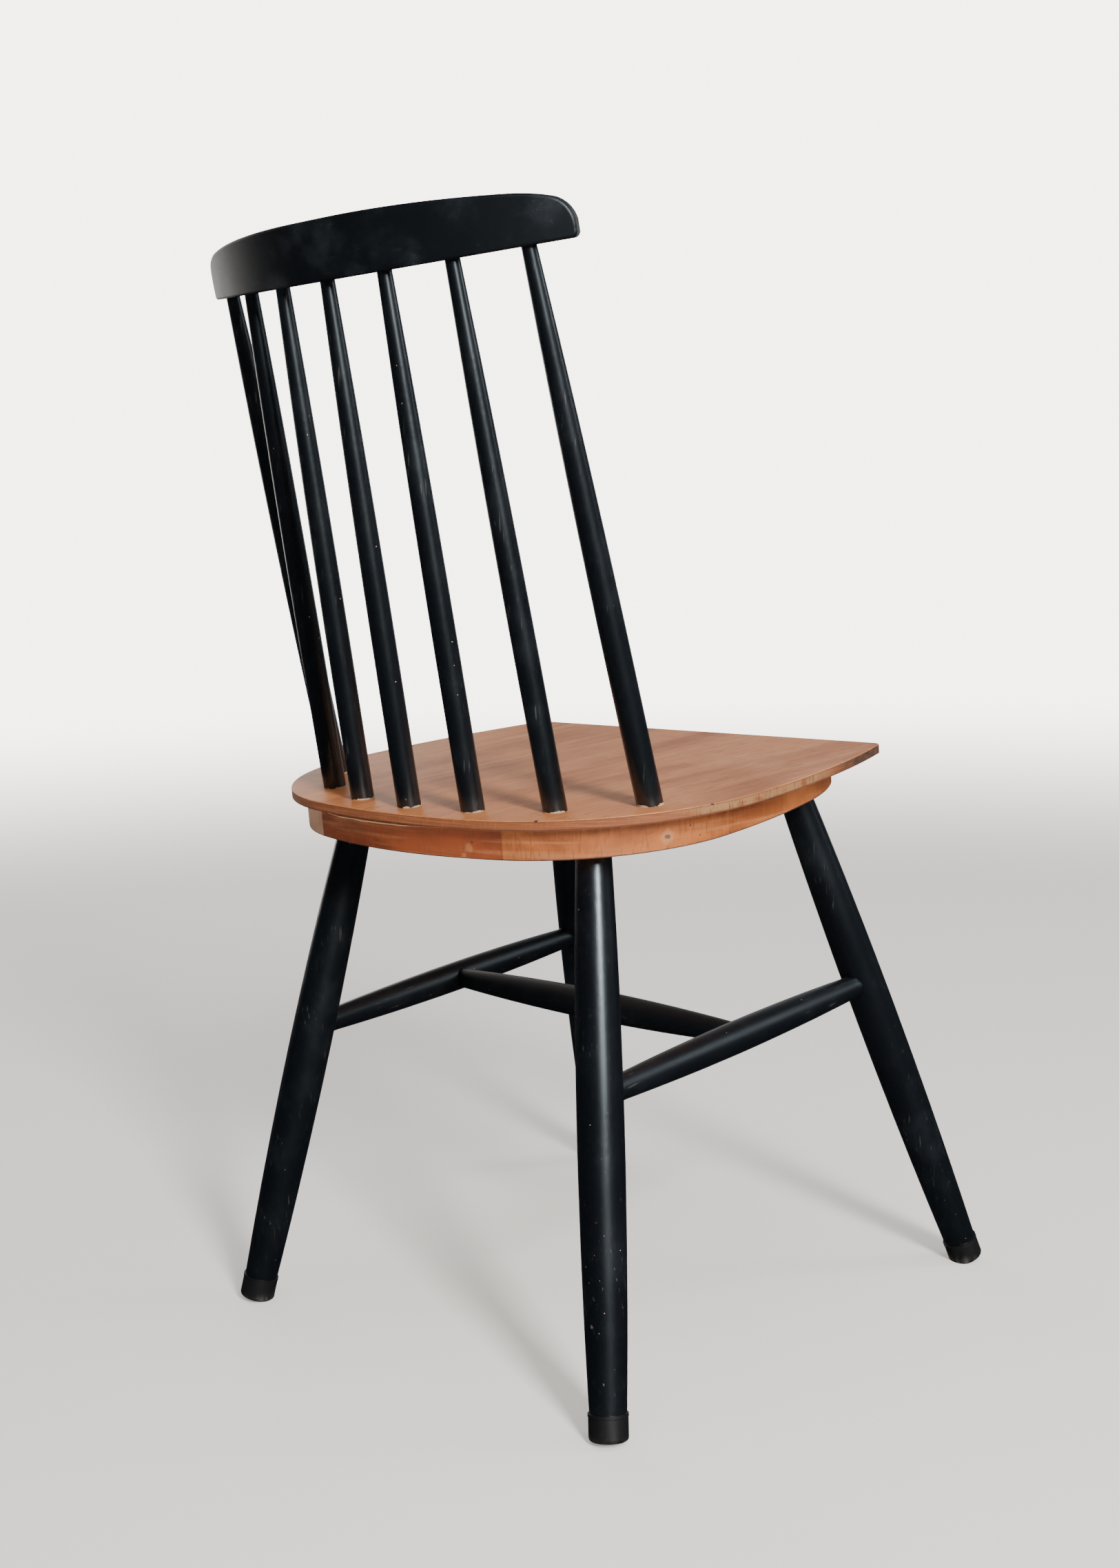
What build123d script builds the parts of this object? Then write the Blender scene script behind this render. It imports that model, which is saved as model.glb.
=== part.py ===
from build123d import *
import os
from math import asin, cos, degrees, radians, sin, sqrt

os.makedirs("parts", exist_ok=True)

# Spindle-back dining chair, in millimetres.
# It stands on Z = 0, its front is towards -Y and it is symmetric about X = 0.
# "left" and "right" are the sitter's own, so left is +X and right is -X.

# ---------------------------------------------------------------- seat board
seat_width = 420
seat_depth = 356
seat_front_width = 362
seat_front_height = 440
seat_front_y = -150.7
seat_tilt = 4.2
board_thickness = 7
board_rear_radius = 480
board_widest_from_rear = 160
board_corner_radius = 8
board_edge_radius = 1

# ---------------------------------------------------------------- seat frame
frame_thickness = 23
frame_side_inset = 21
frame_rear_inset = 7.5
frame_front_inset = 12
frame_rear_radius = 360
frame_widest_from_rear = 138
frame_cheek_inset = 36
frame_cheek_from_front = 85
frame_nose_inset = 39
frame_corner_radius = 15
joint_to_spindle = 21
rear_rail_depth = 73
front_rail_depth = 53

dowel_radius = 4
dowel_length = 26
dowel_edge_distance = 15

# ---------------------------------------------------------------------- legs
leg_outside_spindle = 8.3
front_socket_from_front = 42.5
rear_socket_from_rear = 80
front_splay_out = 80
front_splay_forward = 132.5
rear_splay_out = 66
rear_splay_back = 70
leg_top_radius = 12.5
leg_belly_radius = 16.5
leg_foot_radius = 12.9
leg_belly_height = 200
leg_tenon_radius = 9.5
leg_tenon_cover = 2
leg_spigot_step = 0.9

# ----------------------------------------------------------------- foot caps
cap_height = 18.5
cap_lift = 1.5
cap_floor = 5
cap_overhang = 0.8
cap_lip_overhang = 1.1
cap_lip_height = 2
cap_lip_groove = 0.4
cap_edge_radius = 3

# ---------------------------------------------------------------- stretchers
stretcher_rear_height = 223.5
stretcher_front_height = 244
stretcher_belly_radius = 12.1
side_tenon_radius = 9.2
side_tenon_stand_off = 6
cross_tenon_radius = 8
cross_tenon_stand_off = 1

# ------------------------------------------------------------------ spindles
row_end_margin = 64.2
row_gap_growth = 3.4
row_side_inset = 24.8
row_rear_inset = 24
row_widest_from_rear = 156
spindle_radius = 8.6
outer_spindle_radius = 9.4
spindle_neck_radius = 5.1
spindle_straight_length = 86
spindle_tenon_radius = 6
spindle_tenon_cover = 5
neck_tenon_length = 16

# ------------------------------------------------------------------ top rail
rail_lean = 12
rail_behind_seat = 33.8
rail_above_seat = 337.5
rail_radius = 320
rail_thickness = 18
rail_half_length = 191
rail_height = 40
rail_crown_flat = 12
rail_shoulder_inset = 40
rail_shoulder_drop = 7
rail_corner_inset = 14
rail_corner_drop = 12.5
rail_end_drop = 29
rail_lower_corner_radius = 4
rail_edge_radius = 2
rail_end_margin = 33

# ------------------------------------------------------------------ fits
fit = 0.1
end_gap = 0.3

sides = {"left": 1, "right": -1}
ends = ("front", "rear")

# --------------------------------------------------------- reference geometry
seat_plane = Plane(
    origin=(0, seat_front_y, seat_front_height),
    x_dir=(1, 0, 0),
    z_dir=(0, sin(radians(seat_tilt)), cos(radians(seat_tilt))),
)
frame_top = seat_plane.offset(-board_thickness)
frame_underside = frame_top.offset(-frame_thickness)
seat_axis = Axis(seat_plane.origin, seat_plane.z_dir)
seat_rear_y = seat_front_y + seat_depth * cos(radians(seat_tilt))
rail_plane = Plane(
    origin=(0, seat_rear_y + rail_behind_seat, seat_front_height + rail_above_seat),
    x_dir=(1, 0, 0),
    z_dir=(0, sin(radians(rail_lean)), cos(radians(rail_lean))),
)


def point_on(plane, x, y):
    """World point at local X and Y on a plane."""
    return plane.from_local_coords(Vector(x, y, 0))


def turning_plane(start, end, towards):
    """Plane of a turned profile: local X is the radius, on one side, local Y runs from start to end."""
    along = (end - start).normalized()
    radial = towards - along * towards.dot(along)
    return Plane(origin=start, x_dir=radial, z_dir=radial.cross(along))


def axis_between(start, end):
    return Axis(start, end - start)


def rod(start, end, radius, mode=Mode.ADD):
    """Adds, or with Mode.SUBTRACT bores, a round rod from start to end in the part being built."""
    with BuildSketch(Plane(origin=start, z_dir=(end - start).normalized())) as section:
        Circle(radius)
    extrude(section.sketch, amount=(end - start).length, mode=mode)


def bored(start, end, radius):
    rod(start, end, radius + fit, mode=Mode.SUBTRACT)


def d_outline(half_width, rear, widest_from_rear, rear_radius, front_points):
    """Draws a D: a shallow rear arc, two shoulder arcs, then tangent arcs to the front corners."""
    widest = rear - widest_from_rear
    rear_centre = rear - rear_radius
    rise = widest - rear_centre
    shoulder_radius = (rear_radius**2 - half_width**2 - rise**2) / (2 * (rear_radius - half_width))
    shoulder_x = half_width - shoulder_radius
    turn = degrees(asin(shoulder_x / (rear_radius - shoulder_radius)))
    CenterArc((0, rear_centre), rear_radius, 90, -turn)
    edge = CenterArc((shoulder_x, widest), shoulder_radius, 90 - turn, turn - 90)
    for corner in front_points:
        edge = TangentArc(edge @ 1, corner, tangent=edge % 1)
    Line(edge @ 1, (0, front_points[-1][1]))
    mirror(about=Plane.YZ)


# The spindles stand on an ellipse on the seat and on the rail's own curve above.
row_half_width = seat_width / 2 - row_side_inset
row_middle = seat_depth - row_widest_from_rear
row_half_depth = row_widest_from_rear - row_rear_inset
with BuildLine() as row:
    EllipticalCenterArc((0, row_middle), row_half_width, row_half_depth, start_angle=0, arc_size=90)
row_curve = row.edges()[0]
first_gap = (row_curve.length - row_end_margin) / 3 - row_gap_growth
rail_pitch = (rail_half_length - rail_end_margin) / 3
spindles = {
    "outer_left": 3,
    "middle_left": 2,
    "inner_left": 1,
    "centre": 0,
    "inner_right": -1,
    "middle_right": -2,
    "outer_right": -3,
}


def row_point(step):
    """Local seat point of a spindle, counted from the centre one; each gap is wider than the last."""
    count = abs(step)
    along = row_curve.length - count * first_gap - count * (count - 1) / 2 * row_gap_growth
    on_row = row_curve.position_at(along, position_mode=PositionMode.LENGTH)
    return (on_row.X if step > 0 else -on_row.X), on_row.Y


def spindle_axis(step):
    """Foot on the seat's top face and head on the rail's underside."""
    angle = step * rail_pitch / rail_radius
    foot = point_on(seat_plane, *row_point(step))
    head = point_on(rail_plane, rail_radius * sin(angle), rail_radius * (cos(angle) - 1))
    return foot, head


def spindle_tenon_end(step, extra=0):
    """Lower end of a spindle's tenon, its depth measured square to the seat."""
    foot, head = spindle_axis(step)
    downward = (foot - head).normalized()
    slant = -downward.dot(seat_plane.z_dir)
    depth = board_thickness + frame_thickness - spindle_tenon_cover
    return foot + downward * ((depth + extra) / slant)


def spindle_neck_end(step, extra=0):
    foot, head = spindle_axis(step)
    return head + (head - foot).normalized() * (neck_tenon_length + extra)


leg_socket_x = row_point(2)[0] + leg_outside_spindle
frame_joint_x = row_point(2)[0] - joint_to_spindle
frame_half_width = seat_width / 2 - frame_side_inset
frame_rear = seat_depth - frame_rear_inset


def leg_axis(side, end):
    """Floor point and frame-underside point of a leg's centre line."""
    if end == "front":
        socket = point_on(frame_underside, side * leg_socket_x, front_socket_from_front)
        splay = Vector(side * front_splay_out, -front_splay_forward, -socket.Z)
    else:
        socket = point_on(frame_underside, side * leg_socket_x, seat_depth - rear_socket_from_rear)
        splay = Vector(side * rear_splay_out, rear_splay_back, -socket.Z)
    return socket + splay, socket


def leg_tenon_tip(side, end, extra=0):
    """Top of a leg's tenon, whose cover keeps its rim below the frame's top."""
    foot, socket = leg_axis(side, end)
    upward = (socket - foot).normalized()
    slant = upward.dot(frame_top.z_dir)
    rise = frame_thickness - leg_tenon_cover - leg_tenon_radius * sqrt(1 - slant**2)
    return socket + upward * (rise / slant + extra)


def leg_point(side, end, height):
    """Point of a leg's centre line at a height above the floor."""
    foot, socket = leg_axis(side, end)
    return foot + (socket - foot) * (height / socket.Z)


def side_stretcher_ends(side):
    """Points on the rear and front legs' centre lines that a side stretcher joins."""
    rear_point = leg_point(side, "rear", stretcher_rear_height)
    return rear_point, leg_point(side, "front", stretcher_front_height)


def cross_end(side):
    """Middle of a side stretcher, where the cross stretcher meets it."""
    rear_point, front_point = side_stretcher_ends(side)
    return (rear_point + front_point) / 2


def seat_corners(sketch):
    """The two front corners of a D outline."""
    front_corners = sketch.vertices().group_by(Axis.Y)[0].sort_by(Axis.X)
    return front_corners[0], front_corners[-1]


# ----------------------------------------------------------------- seat board
# A thin panel, bored for the spindles' tenons.
with BuildPart() as seat_board:
    with BuildSketch(seat_plane) as board_face:
        with BuildLine():
            d_outline(
                seat_width / 2,
                seat_depth,
                board_widest_from_rear,
                board_rear_radius,
                [(seat_front_width / 2, 0)],
            )
        make_face()
        fillet(seat_corners(board_face), board_corner_radius)
    extrude(amount=-board_thickness)
    fillet(seat_board.faces().sort_by(seat_axis)[-1].edges(), board_edge_radius)
    for step in spindles.values():
        foot, head = spindle_axis(step)
        above = foot + (head - foot).normalized() * board_thickness
        bored(above, spindle_tenon_end(step), spindle_tenon_radius)
seat_board.part.label = "seat_board"
export_step(seat_board.part, "parts/seat_board.step")


# ----------------------------------------------------------------- seat frame
def dowel_lines():
    """Ends of the eight dowels that cross the frame's four joints."""
    rear_inner = frame_rear - rear_rail_depth
    rear_outer = frame_rear - frame_rear_radius + sqrt(frame_rear_radius**2 - frame_joint_x**2)
    front_inner = frame_front_inset + front_rail_depth
    rows = (
        frame_front_inset + dowel_edge_distance,
        front_inner - dowel_edge_distance,
        rear_inner + dowel_edge_distance,
        rear_outer - dowel_edge_distance,
    )
    middle = frame_top.offset(-frame_thickness / 2)
    for side in sides.values():
        for from_front in rows:
            inner = point_on(middle, side * (frame_joint_x - dowel_length / 2), from_front)
            outer = point_on(middle, side * (frame_joint_x + dowel_length / 2), from_front)
            yield inner, outer


def frame_block(low_x, high_x, low_y, high_y):
    """One board of the frame: the frame's outline between two pairs of straight cuts."""
    with BuildPart() as block:
        with BuildSketch(frame_top) as plan:
            with BuildLine():
                d_outline(
                    frame_half_width,
                    frame_rear,
                    frame_widest_from_rear,
                    frame_rear_radius,
                    [
                        (seat_width / 2 - frame_cheek_inset, frame_cheek_from_front),
                        (seat_front_width / 2 - frame_nose_inset, frame_front_inset),
                    ],
                )
            make_face()
            fillet(seat_corners(plan), frame_corner_radius)
            with Locations(((low_x + high_x) / 2, (low_y + high_y) / 2)):
                Rectangle(high_x - low_x, high_y - low_y, mode=Mode.INTERSECT)
        extrude(amount=-frame_thickness)
        for step in spindles.values():
            bored(spindle_axis(step)[0], spindle_tenon_end(step, end_gap), spindle_tenon_radius)
        for side in sides.values():
            for end in ends:
                foot, socket = leg_axis(side, end)
                upward = (socket - foot).normalized()
                below = socket - upward * leg_top_radius
                bored(below, leg_tenon_tip(side, end, end_gap), leg_tenon_radius)
        for inner, outer in dowel_lines():
            along = (outer - inner).normalized() * end_gap
            bored(inner - along, outer + along, dowel_radius)
    return block.part


blocks = {
    "frame_front_rail": (
        -frame_joint_x,
        frame_joint_x,
        frame_front_inset,
        frame_front_inset + front_rail_depth,
    ),
    "frame_rear_rail": (-frame_joint_x, frame_joint_x, frame_rear - rear_rail_depth, frame_rear),
    "frame_side_rail_left": (frame_joint_x, frame_half_width, 0, frame_rear),
    "frame_side_rail_right": (-frame_half_width, -frame_joint_x, 0, frame_rear),
}
for label, cuts in blocks.items():
    board = frame_block(*cuts)
    board.label = label
    export_step(board, f"parts/{label}.step")

with BuildPart() as frame_dowels:
    for inner, outer in dowel_lines():
        rod(inner, outer, dowel_radius)
frame_dowels.part.label = "frame_dowels"
export_step(frame_dowels.part, "parts/frame_dowels.step")

# ----------------------------------------------------------- legs and caps
leg_spigot_radius = leg_foot_radius - leg_spigot_step
cap_radius = leg_foot_radius + cap_overhang
cap_lip_radius = leg_foot_radius + cap_lip_overhang
for side_name, side in sides.items():
    for end in ends:
        foot, socket = leg_axis(side, end)
        length = (socket - foot).length
        upward = (socket - foot).normalized()
        rear_joint, front_joint = side_stretcher_ends(side)
        joint = front_joint if end == "front" else rear_joint
        other = rear_joint if end == "front" else front_joint
        inward = (other - joint).normalized()
        profile_plane = turning_plane(foot, socket, -inward)
        cap_top = cap_lift + cap_height
        spigot_start = cap_lift + cap_floor + end_gap

        # A leg swells gently from the frame, tapers to the floor and ends in a spigot in its cap.
        with BuildPart() as leg:
            with BuildSketch(profile_plane):
                with BuildLine():
                    Polyline(
                        (0, spigot_start),
                        (leg_spigot_radius, spigot_start),
                        (leg_spigot_radius, cap_top),
                        (leg_foot_radius, cap_top),
                    )
                    ThreePointArc(
                        (leg_foot_radius, cap_top),
                        (leg_belly_radius, leg_belly_height),
                        (leg_top_radius, length),
                    )
                    Polyline(
                        (leg_top_radius, length),
                        (leg_top_radius, length + leg_top_radius),
                        (0, length + leg_top_radius),
                        (0, spigot_start),
                    )
                make_face()
            revolve(axis=axis_between(foot, socket))
            split(bisect_by=frame_underside, keep=Keep.BOTTOM)
            rod(socket - upward * leg_top_radius, leg_tenon_tip(side, end), leg_tenon_radius)
            bored(
                joint + inward * 2 * leg_belly_radius,
                joint - inward * end_gap,
                side_tenon_radius,
            )
        label = f"{end}_leg_{side_name}"
        leg.part.label = label
        export_step(leg.part, f"parts/{label}.step")

        # The cap is a cup with a lip, worn flat where it meets the floor.
        with BuildPart() as cap:
            with BuildSketch(profile_plane):
                with BuildLine():
                    Polyline(
                        (0, cap_lift),
                        (cap_radius, cap_lift),
                        (cap_radius, cap_top - cap_lip_height - cap_lip_groove),
                        (cap_radius - cap_lip_groove, cap_top - cap_lip_height),
                        (cap_lip_radius, cap_top - cap_lip_height),
                        (cap_lip_radius, cap_top),
                        (leg_spigot_radius + fit, cap_top),
                        (leg_spigot_radius + fit, cap_lift + cap_floor),
                        (0, cap_lift + cap_floor),
                        close=True,
                    )
                make_face()
            revolve(axis=axis_between(foot, socket))
            lower_rim = cap.edges().filter_by(GeomType.CIRCLE).sort_by(Axis.Z)[0]
            fillet(lower_rim, cap_edge_radius)
            split(bisect_by=Plane.XY, keep=Keep.TOP)
        label = f"foot_cap_{end}_{side_name}"
        cap.part.label = label
        export_step(cap.part, f"parts/{label}.step")


# ---------------------------------------------------------------- stretchers
def stretcher(start, end, tenon_radius, tenon_length):
    """A cigar-shaped rod whose ends run straight into their sockets."""
    length = (end - start).length
    with BuildPart() as turned:
        with BuildSketch(turning_plane(start, end, Vector(0, 0, 1))):
            with BuildLine():
                Polyline((0, length), (0, 0), (tenon_radius, 0), (tenon_radius, tenon_length))
                ThreePointArc(
                    (tenon_radius, tenon_length),
                    (stretcher_belly_radius, length / 2),
                    (tenon_radius, length - tenon_length),
                )
                Polyline((tenon_radius, length - tenon_length), (tenon_radius, length), (0, length))
            make_face()
        revolve(axis=axis_between(start, end))
    return turned.part


for side_name, side in sides.items():
    start, end = side_stretcher_ends(side)
    middle = cross_end(side)
    inward = Vector(-side, 0, 0)
    clear = middle + inward * 2 * stretcher_belly_radius
    with BuildPart() as side_stretcher:
        add(stretcher(start, end, side_tenon_radius, leg_belly_radius + side_tenon_stand_off))
        bored(clear, middle - inward * end_gap, cross_tenon_radius)
    label = f"side_stretcher_{side_name}"
    side_stretcher.part.label = label
    export_step(side_stretcher.part, f"parts/{label}.step")

cross_stretcher = stretcher(
    cross_end(sides["left"]),
    cross_end(sides["right"]),
    cross_tenon_radius,
    stretcher_belly_radius + cross_tenon_stand_off,
)
cross_stretcher.label = "cross_stretcher"
export_step(cross_stretcher, "parts/cross_stretcher.step")

# ------------------------------------------------------------------ spindles
for name, step in spindles.items():
    foot, head = spindle_axis(step)
    length = (head - foot).length
    downward = (foot - head).normalized()
    radius = outer_spindle_radius if abs(step) == 3 else spindle_radius
    with BuildPart() as spindle:
        with BuildSketch(turning_plane(foot, head, Vector(0, 1, 0))):
            with BuildLine():
                Polyline((0, -radius), (radius, -radius), (radius, spindle_straight_length))
                TangentArc((radius, spindle_straight_length), (spindle_neck_radius, length), tangent=(0, 1))
                Polyline(
                    (spindle_neck_radius, length),
                    (spindle_neck_radius, length + neck_tenon_length),
                    (0, length + neck_tenon_length),
                    (0, -radius),
                )
            make_face()
        revolve(axis=axis_between(foot, head))
        split(bisect_by=seat_plane, keep=Keep.TOP)
        rod(foot - downward * radius, spindle_tenon_end(step), spindle_tenon_radius)
    label = f"spindle_{name}"
    spindle.part.label = label
    export_step(spindle.part, f"parts/{label}.step")

# ------------------------------------------------------------------ top rail
# A bent board, leaning with the spindles, with a low crown and rounded shoulders.
rail_centre = (0, -rail_radius)
rail_outer_radius = rail_radius + rail_thickness / 2
rail_inner_radius = rail_radius - rail_thickness / 2
half_angle = degrees(rail_half_length / rail_radius)
with BuildPart() as top_rail:
    with BuildSketch(rail_plane):
        with BuildLine():
            outer = CenterArc(rail_centre, rail_outer_radius, 90 - half_angle, 2 * half_angle)
            inner = CenterArc(rail_centre, rail_inner_radius, 90 - half_angle, 2 * half_angle)
            Line(outer @ 0, inner @ 0)
            Line(outer @ 1, inner @ 1)
        make_face()
    extrude(amount=rail_height)
    for side in sides.values():
        turn = rail_half_length / rail_radius
        tip = point_on(rail_plane, side * rail_radius * sin(turn), rail_radius * (cos(turn) - 1))
        tangent = point_on(rail_plane, side * cos(turn), -sin(turn)) - rail_plane.origin
        end_plane = Plane(origin=tip, x_dir=tangent, z_dir=tangent.cross(rail_plane.z_dir))
        far = -4 * rail_half_length
        crown = (rail_crown_flat - rail_radius * sin(turn), rail_height)
        shoulder = (-rail_shoulder_inset, rail_height - rail_shoulder_drop)
        corner = (-rail_corner_inset, rail_height - rail_corner_drop)
        end_top = (0, rail_height - rail_end_drop)
        with BuildSketch(end_plane) as end_shape:
            with BuildLine():
                edge = Line((far, rail_height), crown)
                for point in (shoulder, corner, end_top):
                    edge = TangentArc(edge @ 1, point, tangent=edge % 1)
                Polyline(edge @ 1, (0, 0), (far, 0), (far, rail_height))
            make_face()
            lower_tip = end_shape.vertices().group_by(Axis.Y)[0].sort_by(Axis.X)[-1]
            fillet(lower_tip, rail_lower_corner_radius)
        extrude(amount=rail_radius, both=True, mode=Mode.INTERSECT)
    fillet(top_rail.edges(), rail_edge_radius)
    for step in spindles.values():
        foot, head = spindle_axis(step)
        upward = (head - foot).normalized()
        bored(head - upward * spindle_neck_radius, spindle_neck_end(step, end_gap), spindle_neck_radius)
top_rail.part.label = "top_rail"
export_step(top_rail.part, "parts/top_rail.step")
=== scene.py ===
"""Looks for a spindle-back dining chair.

The chair has lacquered turned legs and back, a veneered seat and a varnished seat frame.
All lengths are in metres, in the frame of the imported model: +Z is up and -Y is the front.
Left and right are the sitter's own: +X is the left.
"""

from __future__ import annotations

import logging
import math
from collections.abc import Callable
from dataclasses import dataclass, field
from enum import Enum

import bmesh
import bpy
from mathutils import Matrix, Vector

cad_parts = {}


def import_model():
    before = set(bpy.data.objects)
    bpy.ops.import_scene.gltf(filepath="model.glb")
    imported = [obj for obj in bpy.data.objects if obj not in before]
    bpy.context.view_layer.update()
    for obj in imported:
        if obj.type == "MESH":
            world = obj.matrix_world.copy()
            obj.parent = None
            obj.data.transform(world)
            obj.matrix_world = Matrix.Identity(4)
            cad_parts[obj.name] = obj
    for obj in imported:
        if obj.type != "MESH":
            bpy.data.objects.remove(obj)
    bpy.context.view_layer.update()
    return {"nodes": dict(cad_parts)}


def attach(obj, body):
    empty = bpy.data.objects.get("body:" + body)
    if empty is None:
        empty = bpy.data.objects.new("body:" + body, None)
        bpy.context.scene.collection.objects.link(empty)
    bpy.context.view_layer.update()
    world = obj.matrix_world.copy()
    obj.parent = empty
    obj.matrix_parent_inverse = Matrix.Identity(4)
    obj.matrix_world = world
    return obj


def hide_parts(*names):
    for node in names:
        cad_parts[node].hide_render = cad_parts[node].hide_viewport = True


log = logging.getLogger("chair")

Colour = tuple[float, float, float]
Triple = tuple[float, float, float]
Span = tuple[float, float]
Marks = tuple[tuple[Triple, float], ...]

MM = 0.001

# The seat's top: the middle of its front edge, its normal and the way to its rear.
SEAT_TILT = math.radians(4.2)
SEAT_FRONT = Vector((0.0, -0.1507, 0.440))
SEAT_UP = Vector((0.0, math.sin(SEAT_TILT), math.cos(SEAT_TILT)))
SEAT_BACK = SEAT_UP.cross(Vector((1.0, 0.0, 0.0)))
BOARD_THICKNESS = 7 * MM
FRAME_THICKNESS = 23 * MM

MERGE_DISTANCE = 0.001 * MM
SHARP_ANGLE = math.radians(40)
BLACK: Colour = (0.0, 0.0, 0.0)


class Run(Enum):
    """Direction in which a piece's wood and wear run."""

    ACROSS = "x"
    BACK = "y"
    UP = "z"

    def squeeze(self, across: float, along: float) -> Triple:
        """Pattern density on X, Y and Z.

        Args:
            across: Density square to the run.
            along: Density along the run.

        Returns:
            The three densities.
        """
        return tuple(along if name == self.value else across for name in "xyz")


class Wire:
    """An output socket; sums on it add Math nodes beside its own node."""

    def __init__(self, bench: Bench, socket: bpy.types.NodeSocket) -> None:
        """Keeps the socket and the bench that its node stands on."""
        self.bench = bench
        self.socket = socket

    def maths(self, operation: str, *values: Wire | float) -> Wire:
        """Adds a Math node.

        Args:
            operation: The Math node's operation.
            values: Its inputs, in order.

        Returns:
            The result.
        """
        return self.bench.wire("Math", {"operation": operation}, dict(enumerate(values)))

    def __add__(self, other: Wire | float) -> Wire:
        """Sum."""
        return self.maths("ADD", self, other)

    def __radd__(self, other: float) -> Wire:
        """Sum with the number first."""
        return self.maths("ADD", other, self)

    def __sub__(self, other: Wire | float) -> Wire:
        """Difference."""
        return self.maths("SUBTRACT", self, other)

    def __rsub__(self, other: float) -> Wire:
        """Difference with the number first."""
        return self.maths("SUBTRACT", other, self)

    def __mul__(self, other: Wire | float) -> Wire:
        """Product."""
        return self.maths("MULTIPLY", self, other)

    def __rmul__(self, other: float) -> Wire:
        """Product with the number first."""
        return self.maths("MULTIPLY", other, self)

    def size(self) -> Wire:
        """Value without its sign."""
        return self.maths("ABSOLUTE", self)

    def most(self, other: Wire | float) -> Wire:
        """Larger of two values."""
        return self.maths("MAXIMUM", self, other)

    def step(self, low: float, high: float) -> Wire:
        """Smooth step.

        Args:
            low: Value where the result is 0.
            high: Value where the result is 1; it may be the lower of the two.

        Returns:
            A mask from 0 to 1.
        """
        start, end, first, last = (low, high, 0.0, 1.0) if low < high else (high, low, 1.0, 0.0)
        return self.bench.wire(
            "MapRange",
            {"interpolation_type": "SMOOTHSTEP"},
            {"Value": self, "From Min": start, "From Max": end, "To Min": first, "To Max": last},
        )


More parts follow.
